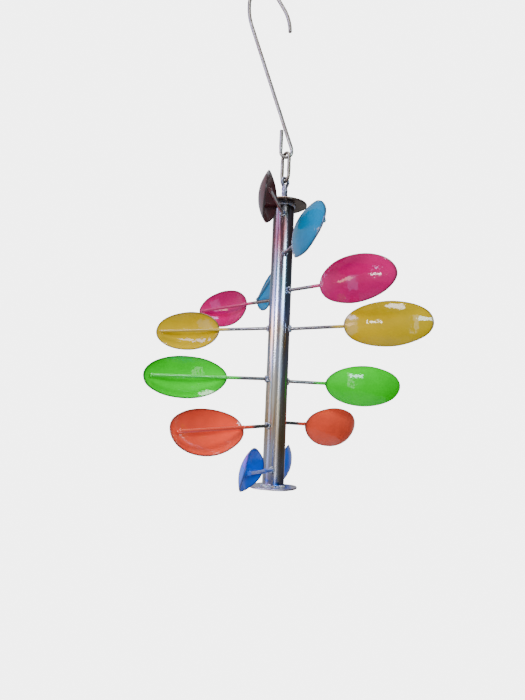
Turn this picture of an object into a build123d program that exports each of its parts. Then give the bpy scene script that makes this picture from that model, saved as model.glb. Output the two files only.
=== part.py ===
from build123d import *
from math import cos, radians, sin, sqrt
import os

os.makedirs("parts", exist_ok=True)

# Hanging wind spinner: a steel tube carrying seven levels of painted, dished paddles, which turns on a swivel
# under one chain link and a long S hook. Millimetres, +Z up. The origin is on the vertical load line, level with
# the end of the hook's short leg. The viewer's front is -Y.

# ---- driving dimensions --------------------------------------------------------------------------------------
# S hook, one bent rod
HOOK_WIRE = 4.0
HOOK_DROP = 162.5          # origin down to the rod's centre at the bottom of the lower eye
HOOK_LEAN = 19.5           # the shank's lean from upright, degrees
CROOK_RADIUS = 18.5        # centre-line radius of the crook
CROOK_NECK = 4.0           # short upright run under the crook
NECK_RADIUS = 80.0         # bend between shank and neck
CROOK_TURN = 148.0         # how far the crook bends over, degrees
SHORT_RUN = 17.0           # straight run down from the crook
SHORT_RADIUS = 60.0        # slow bend at the short leg's end
SHORT_TURN = 31.0          # degrees
EYE_RADIUS_OUT = 6.8       # lower eye, shank side
EYE_RADIUS_IN = 6.6        # lower eye, return side
SHANK_FOOT_RADIUS = 20.0   # bend where the eye runs into the shank
RETURN_LEG = 27.4          # straight return leg of the lower eye

# chain link
LINK_WIRE = 4.0
LINK_PITCH = 36.0          # centre line to centre line, end to end
LINK_WIDTH = 13.5          # centre line to centre line, across
LINK_TURN = -57.0          # plan angle of the link's plane from the hook's plane, degrees
LINK_RIDE = 1.0            # the oblique link rides this much higher in the eye
HANG_GAP = 0.3             # clearance between pieces that hang in one another

# swivel shaft
EYE_WIRE = 3.8
EYE_BORE = 5.4
EYE_TO_DISC = 28.0         # eye centre down to the top disc's upper face
SHANK_DIAMETER = 6.6       # rough upper part
JOURNAL_DIAMETER = 6.0
SHOULDER_GAP = 0.5         # shaft shoulder above the top disc
THREAD_TAIL = 2.0          # shaft past the nut

# thrust bearing, bush and fastener
RUN_CLEARANCE = 0.05       # radial, shaft in bush
RACE_CLEARANCE = 0.1       # radial, shaft in the turning race
RACE_DIAMETER = 14.0
RACE_THICK = 1.6
BALL_DIAMETER = 3.0
BALL_COUNT = 7
BALL_PITCH_DIAMETER = 10.0
BALL_CLEARANCE = 0.1       # ball to groove
RACE_SPACING = 1.8         # between the two races
CAGE_THICK = 1.0
CAGE_WALL = 0.9            # cage past the balls, radially
CAGE_CLEARANCE = 0.08      # ball to cage pocket
BUSH_WALL = 1.5
BUSH_FLANGE_DIAMETER = 14.0
BUSH_FLANGE_THICK = 1.0
WASHER_DIAMETER = 12.0
WASHER_THICK = 1.6
NUT_ACROSS_FLATS = 10.0
NUT_HEIGHT = 5.0

# tube and end discs
TUBE_DIAMETER = 25.4
TUBE_WALL = 1.6
TUBE_LENGTH = 332.0
TOP_DISC_DIAMETER = 56.0
TOP_DISC_THICK = 2.5
BOTTOM_DISC_DIAMETER = 56.0
BOTTOM_DISC_THICK = 2.0
DISC_WELD_LEG = 1.8        # fillet weld between disc and tube
DISC_EDGE_BREAK = 0.4

# arms and paddles
ROD_DIAMETER = 4.0
ROD_SHORT_OF_RIM = 1.5     # the rod stops this far inside the paddle's outer rim
ROOT_WELD_LEG = 2.2
TIP_WELD_THICK = 0.4       # weld metal round the rod at a paddle's tips
TIP_WELD_LENGTH = 4.0
PADDLE_SHEET = 1.2
PADDLE_LONG_RADIUS = 100.0 # inside curve along the paddle
PADDLE_CROSS_RADIUS = 40.0 # inside curve across the paddle
ROD_SEAT = 0.5             # depth that the rod sits into the paddle's tips

# Each arm: name, bearing in plan, drop below the tube's top, bare stem outside the tube, paddle length and width,
# droop of the arm below level, roll of the paddle about its rod. Seven levels climb half a turn as a helix, and
# each was set by hand, so no two are quite alike.
ARMS = [
    ("maroon_a", -98.5, 13, 48, 96.5, 49, 10, -6),
    ("maroon_b", 86, 13.5, 48, 96, 48, -3, -3),
    ("cyan_a", -78, 61, 48, 97.5, 53, 1, -9),
    ("cyan_b", 100, 71.5, 48, 97, 46.5, 7, 2.5),
    ("magenta_a", -45.5, 104.5, 48.5, 97.5, 50.5, -0.5, 2),
    ("magenta_b", 133, 113.5, 48.5, 96, 47, 0.5, -1),
    ("yellow_a", -19.5, 149.5, 65, 98, 50, -2.5, 1),
    ("yellow_b", 159.5, 149, 65, 88, 47, 1, 0),
    ("green_a", 14, 211, 47.5, 98, 48.5, 0, 11.5),
    ("green_b", 200.5, 209.5, 48.5, 95, 46.5, 1.5, 5),
    ("orange_a", 43, 259.5, 38, 98.5, 49.5, 2, 14.5),
    ("orange_b", 228, 263.5, 40.5, 103, 50, 2.5, 21.5),
    ("blue_a", 82.5, 312.5, 48, 97, 45, 0.5, 5),
    ("blue_b", 258.5, 313, 48, 96, 42.5, -4.5, -13),
]

# ---- worked-out heights --------------------------------------------------------------------------------------
hook_bottom_z = -HOOK_DROP
link_top_z = hook_bottom_z + (HOOK_WIRE + LINK_WIRE) / 2 + HANG_GAP + LINK_RIDE
link_bottom_z = link_top_z - LINK_PITCH
eye_radius = (EYE_BORE + EYE_WIRE) / 2
eye_z = link_bottom_z + LINK_WIRE / 2 + HANG_GAP - EYE_BORE / 2
disc_top_z = eye_z - EYE_TO_DISC
tube_top_z = disc_top_z - TOP_DISC_THICK
tube_bottom_z = tube_top_z - TUBE_LENGTH
tube_radius = TUBE_DIAMETER / 2
tube_bore_radius = tube_radius - TUBE_WALL
bush_bore_radius = JOURNAL_DIAMETER / 2 + RUN_CLEARANCE
bush_radius = bush_bore_radius + BUSH_WALL
bush_bottom_z = tube_top_z - BUSH_FLANGE_THICK
upper_race_z = bush_bottom_z - RACE_THICK
ball_z = upper_race_z - RACE_SPACING / 2
lower_race_top_z = upper_race_z - RACE_SPACING
lower_race_z = lower_race_top_z - RACE_THICK
washer_z = lower_race_z - WASHER_THICK
nut_z = washer_z - NUT_HEIGHT
shaft_end_z = nut_z - THREAD_TAIL
rod_radius = ROD_DIAMETER / 2


# ---- hook, link and swivel shaft -----------------------------------------------------------------------------
def arc_rise(radius, heading, turn):
    """Height gained along an arc that starts at this heading and turns by this much, both in degrees."""
    side = 1 if turn > 0 else -1
    return side * radius * (cos(radians(heading)) - cos(radians(heading + turn)))


shank_heading = 90 + HOOK_LEAN
fixed_rise = (
    arc_rise(EYE_RADIUS_OUT, 0, 90)
    + arc_rise(SHANK_FOOT_RADIUS, 90, HOOK_LEAN)
    + arc_rise(NECK_RADIUS, shank_heading, -HOOK_LEAN)
    + CROOK_NECK
    + arc_rise(CROOK_RADIUS, 90, -CROOK_TURN)
    + SHORT_RUN * sin(radians(90 - CROOK_TURN))
    + arc_rise(SHORT_RADIUS, 90 - CROOK_TURN, -SHORT_TURN)
)
shank_length = (HOOK_DROP - fixed_rise) / sin(radians(shank_heading))

with BuildPart() as s_hook:
    with BuildLine(Plane.XZ) as hook_path:
        eye_out = JernArc((0, hook_bottom_z), (1, 0), EYE_RADIUS_OUT, 90)
        foot = JernArc(eye_out @ 1, eye_out % 1, SHANK_FOOT_RADIUS, HOOK_LEAN)
        shank = Line(foot @ 1, foot @ 1 + (foot % 1) * shank_length)
        bend = JernArc(shank @ 1, shank % 1, NECK_RADIUS, -HOOK_LEAN)
        neck = Line(bend @ 1, bend @ 1 + (bend % 1) * CROOK_NECK)
        crook = JernArc(neck @ 1, neck % 1, CROOK_RADIUS, -CROOK_TURN)
        run = Line(crook @ 1, crook @ 1 + (crook % 1) * SHORT_RUN)
        short_end = JernArc(run @ 1, run % 1, SHORT_RADIUS, -SHORT_TURN)
    with BuildSketch(Plane(origin=eye_out @ 0, z_dir=eye_out % 0)):
        Circle(HOOK_WIRE / 2)
    sweep()
    with BuildLine(Plane.XZ) as return_path:
        eye_in = JernArc((0, hook_bottom_z), (-1, 0), EYE_RADIUS_IN, -90)
        Line(eye_in @ 1, eye_in @ 1 + (eye_in % 1) * RETURN_LEG)
    with BuildSketch(Plane(origin=eye_in @ 0, z_dir=eye_in % 0)):
        Circle(HOOK_WIRE / 2)
    sweep(path=return_path.line)

link_plane = Plane(
    origin=(0, 0, (link_top_z + link_bottom_z) / 2),
    x_dir=(cos(radians(LINK_TURN)), sin(radians(LINK_TURN)), 0),
    z_dir=(sin(radians(LINK_TURN)), -cos(radians(LINK_TURN)), 0),
)
with BuildPart() as chain_link:
    with BuildLine(link_plane) as link_path:
        half_leg = (LINK_PITCH - LINK_WIDTH) / 2
        right_leg = Line((LINK_WIDTH / 2, -half_leg), (LINK_WIDTH / 2, half_leg))
        top_bow = JernArc(right_leg @ 1, right_leg % 1, LINK_WIDTH / 2, 180)
        left_leg = Line(top_bow @ 1, top_bow @ 1 + (top_bow % 1) * half_leg * 2)
        JernArc(left_leg @ 1, left_leg % 1, LINK_WIDTH / 2, 180)
    with BuildSketch(Plane(origin=right_leg @ 0, z_dir=right_leg % 0)):
        Circle(LINK_WIRE / 2)
    sweep()

# The eye stands square to the link's plane, so that the link's wire runs straight through it.
eye_plane = Plane(
    origin=(0, 0, eye_z),
    x_dir=(sin(radians(LINK_TURN)), -cos(radians(LINK_TURN)), 0),
    z_dir=(cos(radians(LINK_TURN)), sin(radians(LINK_TURN)), 0),
)
with BuildPart() as swivel_shaft:
    with BuildSketch(Plane.XZ):
        with BuildLine():
            Polyline(
                (0, shaft_end_z),
                (JOURNAL_DIAMETER / 2, shaft_end_z),
                (JOURNAL_DIAMETER / 2, disc_top_z + SHOULDER_GAP),
                (SHANK_DIAMETER / 2, disc_top_z + SHOULDER_GAP),
                (SHANK_DIAMETER / 2, eye_z - EYE_BORE / 2 - EYE_WIRE / 2),
                (0, eye_z - EYE_BORE / 2 - EYE_WIRE / 2),
                close=True,
            )
        make_face()
    revolve(axis=Axis.Z)
    with Locations(eye_plane):
        Torus(eye_radius, EYE_WIRE / 2)

# ---- bush, thrust bearing, washer and nut --------------------------------------------------------------------
with BuildPart() as pivot_bush:
    with BuildSketch(Plane.XY.offset(bush_bottom_z)):
        Circle(BUSH_FLANGE_DIAMETER / 2)
        Circle(bush_bore_radius, mode=Mode.SUBTRACT)
    extrude(amount=BUSH_FLANGE_THICK)
    with BuildSketch(Plane.XY.offset(tube_top_z)):
        Circle(bush_radius)
        Circle(bush_bore_radius, mode=Mode.SUBTRACT)
    extrude(amount=TOP_DISC_THICK)


def race(bottom_z, bore_radius):
    """One flat washer of the thrust bearing, with its ball groove."""
    with BuildPart() as ring:
        with BuildSketch(Plane.XY.offset(bottom_z)):
            Circle(RACE_DIAMETER / 2)
            Circle(bore_radius, mode=Mode.SUBTRACT)
        extrude(amount=RACE_THICK)
        with Locations((0, 0, ball_z)):
            Torus(BALL_PITCH_DIAMETER / 2, BALL_DIAMETER / 2 + BALL_CLEARANCE, mode=Mode.SUBTRACT)
    return ring


upper_race = race(upper_race_z, JOURNAL_DIAMETER / 2 + RACE_CLEARANCE)
lower_race = race(lower_race_z, JOURNAL_DIAMETER / 2)

with BuildPart() as bearing_balls:
    with Locations((0, 0, ball_z)):
        with PolarLocations(BALL_PITCH_DIAMETER / 2, BALL_COUNT):
            Sphere(BALL_DIAMETER / 2)

cage_reach = BALL_DIAMETER / 2 + CAGE_WALL
with BuildPart() as ball_cage:
    with BuildSketch(Plane.XY.offset(ball_z - CAGE_THICK / 2)):
        Circle(BALL_PITCH_DIAMETER / 2 + cage_reach)
        Circle(BALL_PITCH_DIAMETER / 2 - cage_reach + CAGE_WALL / 2, mode=Mode.SUBTRACT)
    extrude(amount=CAGE_THICK)
    with BuildSketch(Plane.XY.offset(ball_z - CAGE_THICK / 2)):
        with PolarLocations(BALL_PITCH_DIAMETER / 2, BALL_COUNT):
            Circle(BALL_DIAMETER / 2 + CAGE_CLEARANCE)
    extrude(amount=CAGE_THICK, mode=Mode.SUBTRACT)

with BuildPart() as thrust_washer:
    with BuildSketch(Plane.XY.offset(washer_z)):
        Circle(WASHER_DIAMETER / 2)
        Circle(JOURNAL_DIAMETER / 2, mode=Mode.SUBTRACT)
    extrude(amount=WASHER_THICK)

with BuildPart() as lock_nut:
    with BuildSketch(Plane.XY.offset(nut_z)):
        RegularPolygon(NUT_ACROSS_FLATS / 2, 6, major_radius=False)
        Circle(JOURNAL_DIAMETER / 2, mode=Mode.SUBTRACT)
    extrude(amount=NUT_HEIGHT)

# ---- tube and discs ------------------------------------------------------------------------------------------
with BuildPart() as spinner_tube:
    with BuildSketch(Plane.XY.offset(tube_bottom_z)):
        Circle(tube_radius)
        Circle(tube_bore_radius, mode=Mode.SUBTRACT)
    extrude(amount=TUBE_LENGTH)


def weld_ring(z, direction):
    """Triangular fillet weld round the tube, standing on a disc at z."""
    with BuildPart() as ring:
        with BuildSketch(Plane.XZ):
            with BuildLine():
                Polyline(
                    (tube_radius, z),
                    (tube_radius + DISC_WELD_LEG, z),
                    (tube_radius, z + direction * DISC_WELD_LEG),
                    close=True,
                )
            make_face()
        revolve(axis=Axis.Z)
    return ring.part


top_weld = weld_ring(tube_top_z, -1)
bottom_weld = weld_ring(tube_bottom_z, 1)

with BuildPart() as top_disc:
    with BuildSketch(Plane.XY.offset(tube_top_z)):
        Circle(TOP_DISC_DIAMETER / 2)
        Circle(bush_radius, mode=Mode.SUBTRACT)
    extrude(amount=TOP_DISC_THICK)
    chamfer(top_disc.edges().filter_by(GeomType.CIRCLE).group_by(SortBy.RADIUS)[-1], DISC_EDGE_BREAK)
    add(top_weld)

with BuildPart() as bottom_disc:
    with BuildSketch(Plane.XY.offset(tube_bottom_z - BOTTOM_DISC_THICK)):
        Circle(BOTTOM_DISC_DIAMETER / 2)
    extrude(amount=BOTTOM_DISC_THICK)
    chamfer(bottom_disc.edges().filter_by(GeomType.CIRCLE), DISC_EDGE_BREAK)
    add(bottom_weld)


# ---- arms and paddles ----------------------------------------------------------------------------------------
def arm_frame(bearing, drop, droop, roll):
    """Plane at the arm's root: x along the rod, y towards the paddle's hollow side, z up."""
    b, d, r = radians(bearing), radians(droop), radians(roll)
    along = Vector(cos(b) * cos(d), sin(b) * cos(d), -sin(d))
    hollow = Vector(-sin(b), cos(b), 0)
    up = along.cross(hollow)
    root = Vector(tube_radius * cos(b), tube_radius * sin(b), tube_top_z - drop)
    return Plane(origin=root, x_dir=along, z_dir=up * cos(r) - hollow * sin(r))


def across_rod(frame, x):
    """Plane square to the rod at x along it: its own x is the hollow side, its own y is up."""
    return Plane(origin=frame.from_local_coords((x, 0, 0)), x_dir=frame.y_dir, z_dir=frame.x_dir)


def arm_rod(frame, stem, paddle_length):
    """Round rod with its weld metal: its root is cut to the tube's outside, and both paddle tips melt into it."""
    length = stem + paddle_length - ROD_SHORT_OF_RIM
    with BuildPart() as rod:
        with BuildSketch(across_rod(frame, -tube_radius / 2)):
            Circle(rod_radius)
        extrude(amount=tube_radius / 2 + length)
        with BuildSketch(across_rod(frame, -tube_radius / 4)):
            Circle(rod_radius + ROOT_WELD_LEG)
        with BuildSketch(across_rod(frame, ROOT_WELD_LEG)):
            Circle(rod_radius)
        loft()
        with Locations((0, 0, frame.origin.Z)):
            Cylinder(tube_radius, 6 * tube_radius, mode=Mode.SUBTRACT)
        for weld_start in (stem - TIP_WELD_LENGTH / 3, length - TIP_WELD_LENGTH):
            with BuildSketch(across_rod(frame, weld_start)):
                Circle(rod_radius + TIP_WELD_THICK)
            extrude(amount=TIP_WELD_LENGTH)
    return rod


def paddle(frame, stem, length, width):
    """Oval sheet dished both ways. The rod runs as a chord across the hollow side, from tip to tip."""
    middle = stem + length / 2
    depth = PADDLE_LONG_RADIUS - sqrt(PADDLE_LONG_RADIUS**2 - (length / 2) ** 2)
    floor = -(depth + rod_radius - ROD_SEAT)
    section = across_rod(frame, middle)
    band = width / 2 + PADDLE_SHEET
    with BuildPart() as sheet:
        with BuildSketch(section):
            with Locations((floor + PADDLE_CROSS_RADIUS, 0)):
                Circle(PADDLE_CROSS_RADIUS + PADDLE_SHEET)
                Circle(PADDLE_CROSS_RADIUS, mode=Mode.SUBTRACT)
            with Locations((floor - PADDLE_SHEET, 0)):
                Rectangle(PADDLE_CROSS_RADIUS, 2 * band, align=(Align.MIN, Align.CENTER), mode=Mode.INTERSECT)
        turn_centre = section.from_local_coords((floor + PADDLE_LONG_RADIUS, 0, 0))
        revolve(axis=Axis(turn_centre, section.y_dir))
        outline = Plane(
            origin=section.from_local_coords((floor - 2 * PADDLE_SHEET, 0, 0)),
            x_dir=frame.x_dir,
            z_dir=frame.y_dir,
        )
        with BuildSketch(outline):
            Ellipse(length / 2, width / 2)
        extrude(amount=PADDLE_LONG_RADIUS / 2, mode=Mode.INTERSECT)
    return sheet


nodes = {
    "s_hook": s_hook,
    "chain_link": chain_link,
    "swivel_shaft": swivel_shaft,
    "pivot_bush": pivot_bush,
    "upper_race": upper_race,
    "lower_race": lower_race,
    "bearing_balls": bearing_balls,
    "ball_cage": ball_cage,
    "thrust_washer": thrust_washer,
    "lock_nut": lock_nut,
    "spinner_tube": spinner_tube,
    "top_disc": top_disc,
    "bottom_disc": bottom_disc,
}
for name, bearing, drop, stem, length, width, droop, roll in ARMS:
    frame = arm_frame(bearing, drop, droop, roll)
    nodes[f"arm_{name}"] = arm_rod(frame, stem, length)
    nodes[f"paddle_{name}"] = paddle(frame, stem, length, width)

for node_name, node in nodes.items():
    node.part.label = node_name
    export_step(node.part, f"parts/{node_name}.step")
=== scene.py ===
"""Finished look of a hanging wind spinner, built around its mechanical frame. Metres, +Z up, front at -Y."""

import math

import bmesh
import bpy
import numpy as np
from mathutils import Matrix, Vector, noise


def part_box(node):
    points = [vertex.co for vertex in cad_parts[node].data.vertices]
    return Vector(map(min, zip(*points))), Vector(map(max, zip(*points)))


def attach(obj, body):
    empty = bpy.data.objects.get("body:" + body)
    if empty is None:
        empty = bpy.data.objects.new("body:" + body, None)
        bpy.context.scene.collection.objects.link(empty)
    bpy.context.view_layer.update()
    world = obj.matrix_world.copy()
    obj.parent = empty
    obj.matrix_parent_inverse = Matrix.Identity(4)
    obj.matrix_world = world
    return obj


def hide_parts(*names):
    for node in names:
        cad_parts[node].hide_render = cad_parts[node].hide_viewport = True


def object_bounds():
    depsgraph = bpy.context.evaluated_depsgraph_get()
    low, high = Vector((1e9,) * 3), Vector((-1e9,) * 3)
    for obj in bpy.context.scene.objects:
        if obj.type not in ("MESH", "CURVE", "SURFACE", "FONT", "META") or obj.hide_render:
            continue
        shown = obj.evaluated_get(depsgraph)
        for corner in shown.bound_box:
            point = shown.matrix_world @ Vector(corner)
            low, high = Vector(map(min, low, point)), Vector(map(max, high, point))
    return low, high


bl_info = {
    "name": "Hanging Wind Spinner",
    "version": (1, 0, 0),
    "blender": (4, 5, 0),
    "location": "View3D > Sidebar > Spinner",
    "description": "Builds the finished look of a hanging wind spinner around its mechanical frame",
    "category": "Object",
}

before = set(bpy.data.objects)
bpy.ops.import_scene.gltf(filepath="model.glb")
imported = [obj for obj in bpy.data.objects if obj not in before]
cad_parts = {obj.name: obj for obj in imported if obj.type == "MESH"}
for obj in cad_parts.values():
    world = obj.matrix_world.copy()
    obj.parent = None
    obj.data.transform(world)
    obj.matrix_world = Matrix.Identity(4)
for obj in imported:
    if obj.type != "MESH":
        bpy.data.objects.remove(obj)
CAD_BOX = [list(corner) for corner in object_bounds()]

COLOURS = ("maroon", "cyan", "magenta", "yellow", "green", "orange", "blue")
SIDES = ("a", "b")
TUBE_LOW, TUBE_HIGH = (Vector(corner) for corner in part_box("spinner_tube"))
TUBE_RADIUS = (TUBE_HIGH.x - TUBE_LOW.x) / 2


# ---- settings ------------------------------------------------------------------------------------------------
def length(name, text, default):
    """A size in metres."""
    return bpy.props.FloatProperty(
        name=name, description=text, default=default, subtype="DISTANCE", unit="LENGTH"
    )


def angle(name, text, degrees):
    """A turn, given in degrees."""
    return bpy.props.FloatProperty(
        name=name, description=text, default=math.radians(degrees), subtype="ANGLE", unit="ROTATION"
    )


def colour(name, text, default):
    """A linear colour."""
    return bpy.props.FloatVectorProperty(
        name=name, description=text, default=default, size=3, min=0, max=1, subtype="COLOR"
    )


class SpinnerPaddles(bpy.types.PropertyGroup):
    sheet: length("Sheet", "Thickness of the paddles' sheet steel", 0.0012)
    long_radius: length("Long radius", "Inside curve along a paddle", 0.100)
    cross_radius: length("Cross radius", "Inside curve across a paddle", 0.040)
    hammer_depth: length("Hammer depth", "How far the dished sheet wanders from its true curve", 0.0012)
    rim_round: length("Rim round", "Rounding of the ground rim", 0.00035)


class SpinnerPaint(bpy.types.PropertyGroup):
    maroon: colour("Maroon", "Enamel of the top level", (0.085, 0.016, 0.020))
    cyan: colour("Cyan", "Enamel of the second level", (0.000, 0.185, 0.360))
    magenta: colour("Magenta", "Enamel of the third level", (0.490, 0.000, 0.110))
    yellow: colour("Yellow", "Enamel of the fourth level", (0.490, 0.318, 0.000))
    green: colour("Green", "Enamel of the fifth level", (0.004, 0.640, 0.004))
    orange: colour("Orange", "Enamel of the sixth level", (0.950, 0.085, 0.038))
    blue: colour("Blue", "Enamel of the bottom level", (0.000, 0.130, 0.900))


class SpinnerSteel(bpy.types.PropertyGroup):
    rod_radius: length("Rod radius", "Radius of the arm rods", 0.002)
    bare_rod: length("Bare rod", "Rod that the overspray doesn't reach, from the paddle back", 0.020)
    bead: length("Bead", "Size of one ripple of a weld", 0.0016)
    tube_waver: length("Tube waver", "How far the drawn tube wanders from a true cylinder", 0.00006)


class SpinnerStage(bpy.types.PropertyGroup):
    floor_drop: length("Floor drop", "Floor below the spinner's lowest point", 1.5)
    floor_half: length("Floor half width", "Half of the square floor's side", 2.2)
    camera_at: bpy.props.FloatVectorProperty(
        name="Camera", description="Where the camera stands", default=(-0.0337, -0.6739, -0.4662),
        subtype="XYZ", unit="LENGTH"
    )
    pitch: angle("Pitch", "Camera's tilt up", 5.64)
    yaw: angle("Yaw", "Camera's turn to the right", 1.29)
    roll: angle("Roll", "Camera's lean", 2.45)
    lens: bpy.props.FloatProperty(
        name="Lens", description="Focal length, millimetres", default=29.56, unit="CAMERA"
    )


# ---- node trees ----------------------------------------------------------------------------------------------
def put(tree, kind, settings=None, **inputs):
    """Adds a node with its settings and inputs."""
    made = tree.nodes.new(kind)
    for key, value in (settings or {}).items():
        setattr(made, key, value)
    return feed(tree, made, **inputs)


def feed(tree, node, **inputs):
    """Joins or sets a node's inputs, which are given by name, with _ for a space."""
    for key, value in inputs.items():
        join(tree, node.inputs[key.replace("_", " ")], value)
    return node


def join(tree, socket, value):
    """Links a socket to another, or sets its value."""
    if isinstance(value, bpy.types.NodeSocket):
        tree.links.new(value, socket)
    else:
        socket.default_value = value


def maths(tree, operation, *values):
    """One Math node's result."""
    made = tree.nodes.new("ShaderNodeMath")
    made.operation = operation
    for socket, value in zip(made.inputs, values):
        join(tree, socket, value)
    return made.outputs[0]


def vector_maths(tree, operation, *values):
    """One Vector Math node's outputs."""
    made = put(tree, "ShaderNodeVectorMath", {"operation": operation})
    for socket, value in zip(made.inputs, values):
        join(tree, socket, value)
    return made.outputs


def swing(tree, value, amount):
    """A value from 0 to 1 as a swing of that amount about zero."""
    return maths(tree, "MULTIPLY", maths(tree, "SUBTRACT", value, 0.5), amount)


def arc_height(tree, radius, across):
    """Height of a circle's arc over its centre, at a distance across."""
    squares = [maths(tree, "MULTIPLY", value, value) for value in (radius, across)]
    return maths(tree, "SQRT", maths(tree, "SUBTRACT", *squares))


def waves(tree, where, seed, scale, detail, roughness=0.5):
    """Noise that a seed moves along its fourth axis."""
    return put(
        tree, "ShaderNodeTexNoise", {"noise_dimensions": "4D"},
        Vector=where, W=seed, Scale=scale, Detail=detail, Roughness=roughness
    ).outputs


def blend_colours(tree, factor, first, second, mode="MIX"):
    """Mixes two colours and gives the result."""
    made = tree.nodes.new("ShaderNodeMix")
    made.data_type = "RGBA"
    made.blend_type = mode
    join(tree, made.inputs["Factor"], factor)
    join(tree, made.inputs[6], opaque(first))
    join(tree, made.inputs[7], opaque(second))
    return made.outputs[2]


def opaque(value):
    """A colour with its alpha, or a socket as it is."""
    return value if isinstance(value, bpy.types.NodeSocket) else (*value[:3], 1.0)


def wash(tree, mask, strength, under, over):
    """Lays a colour over another through a mask of that strength."""
    return blend_colours(tree, maths(tree, "MULTIPLY", mask, strength), under, over)


def spread(tree, value, low, high, to_low=0.0, to_high=1.0):
    """Map Range, held to its limits."""
    return put(
        tree, "ShaderNodeMapRange", Value=value, From_Min=low, From_Max=high, To_Min=to_low, To_Max=to_high
    ).outputs[0]


def ramp(tree, value, stops):
    """Colour ramp through (place, colour) stops."""
    made = put(tree, "ShaderNodeValToRGB", Fac=value)
    band = made.color_ramp
    while len(band.elements) < len(stops):
        band.elements.new(1.0)
    for element, (at, shade) in zip(band.elements, stops):
        element.position = at
        element.color = opaque(shade)
    return made.outputs[0]


def floats(**defaults):
    """Float sockets from their names, with _ for a space, and their defaults."""
    return [(key.replace("_", " "), "NodeSocketFloat", value) for key, value in defaults.items()]


def tree_with(name, kind, inputs, outputs):
    """Node group with named sockets: inputs are (name, socket type, default)."""
    tree = bpy.data.node_groups.new(name, kind)
    for label, socket_type, default in inputs:
        socket = tree.interface.new_socket(label, in_out="INPUT", socket_type=socket_type)
        if default is not None:
            socket.default_value = default
    for label, socket_type in outputs:
        tree.interface.new_socket(label, in_out="OUTPUT", socket_type=socket_type)
    return tree, tree.nodes.new("NodeGroupInput").outputs, tree.nodes.new("NodeGroupOutput").inputs


def shared(name, maker):
    """The node group of that name, built the first time it is asked for."""
    return bpy.data.node_groups.get(name) or maker(name)


def place(tree, group, **inputs):
    """Places a shader node group and gives its outputs."""
    return put(tree, "ShaderNodeGroup", {"node_tree": group}, **inputs).outputs


# ---- shared shader effects -----------------------------------------------------------------------------------
def make_mottle(name):
    """Soft cloudy mask on object coordinates, which can be stretched along Z."""
    tree, given, out = tree_with(
        name,
        "ShaderNodeTree",
        floats(Scale=30.0, Stretch=1.0, Detail=4.0, Low=0.35, High=0.65, Seed=0.0),
        [("Mask", "NodeSocketFloat"), ("Raw", "NodeSocketFloat")],
    )
    spot = put(tree, "ShaderNodeTexCoord").outputs["Object"]
    squeeze = put(tree, "ShaderNodeCombineXYZ", X=1.0, Y=1.0, Z=maths(tree, "DIVIDE", 1.0, given["Stretch"]))
    placed = vector_maths(tree, "MULTIPLY", spot, squeeze.outputs[0])[0]
    cloud = waves(tree, placed, given["Seed"], given["Scale"], given["Detail"], 0.55)["Fac"]
    join(tree, out["Mask"], spread(tree, cloud, given["Low"], given["High"]))
    join(tree, out["Raw"], cloud)
    return tree


def mottle(tree, **inputs):
    """The mottle's Mask and Raw outputs."""
    return place(tree, shared("Mottle", make_mottle), **inputs)


def make_specks(name):
    """Small scattered spots: dust nibs, spatter and pits."""
    tree, given, out = tree_with(
        name, "ShaderNodeTree", floats(Scale=400.0, Size=0.12, Thin_Out=0.6), [("Mask", "NodeSocketFloat")]
    )
    spot = put(tree, "ShaderNodeTexCoord").outputs["Object"]
    cells = put(tree, "ShaderNodeTexVoronoi", Vector=spot, Scale=given["Scale"], Randomness=1.0)
    near = maths(tree, "LESS_THAN", cells.outputs["Distance"], given["Size"])
    pick = put(tree, "ShaderNodeSeparateColor", Color=cells.outputs["Color"]).outputs[0]
    kept = maths(tree, "GREATER_THAN", pick, given["Thin Out"])
    join(tree, out["Mask"], maths(tree, "MULTIPLY", near, kept))
    return tree


def specks(tree, **inputs):
    """The specks' mask."""
    return place(tree, shared("Specks", make_specks), **inputs)["Mask"]


def make_relief(name):
    """Normal of a fine uneven surface: brush marks, mill scale or orange peel."""
    tree, given, out = tree_with(
        name,
        "ShaderNodeTree",
        floats(Scale=300.0, Stretch=1.0, Detail=3.0, Depth=0.0001, Seed=0.0),
        [("Normal", "NodeSocketVector")],
    )
    cloud = mottle(tree, **{key: given[key] for key in ("Scale", "Stretch", "Detail", "Seed")})["Raw"]
    bump = put(tree, "ShaderNodeBump", Height=cloud, Distance=given["Depth"], Strength=1.0)
    join(tree, out["Normal"], bump.outputs[0])
    return tree


def relief(tree, **inputs):
    """The relief's normal."""
    return place(tree, shared("Relief", make_relief), **inputs)["Normal"]


def make_rim(name):
    """Mask that rises towards a paddle's rim, from the paddle's own flat outline map."""
    tree, given, out = tree_with(
        name, "ShaderNodeTree", floats(Start=0.8, End=1.0, Ragged=0.02), [("Mask", "NodeSocketFloat")]
    )
    flat = put(tree, "ShaderNodeUVMap", {"uv_map": "Outline"}).outputs[0]
    centred = vector_maths(tree, "SUBTRACT", flat, (0.5, 0.5, 0.0))[0]
    radius = maths(tree, "MULTIPLY", vector_maths(tree, "LENGTH", centred)["Value"], 2.0)
    shift = swing(tree, mottle(tree, Scale=220.0, Detail=3.0)["Raw"], given["Ragged"])
    join(tree, out["Mask"], spread(tree, maths(tree, "ADD", radius, shift), given["Start"], given["End"]))
    return tree


def rim(tree, **inputs):
    """The rim's mask."""
    return place(tree, shared("Rim mask", make_rim), **inputs)["Mask"]


# ---- materials -----------------------------------------------------------------------------------------------
def new_material(name):
    """Empty material with its Principled shader."""
    made = bpy.data.materials.new(name)
    made.use_nodes = True
    made.node_tree.nodes.clear()
    tree = made.node_tree
    shader = tree.nodes.new("ShaderNodeBsdfPrincipled")
    surface = tree.nodes.new("ShaderNodeOutputMaterial")
    tree.links.new(shader.outputs[0], surface.inputs[0])
    return made, tree, shader


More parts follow.
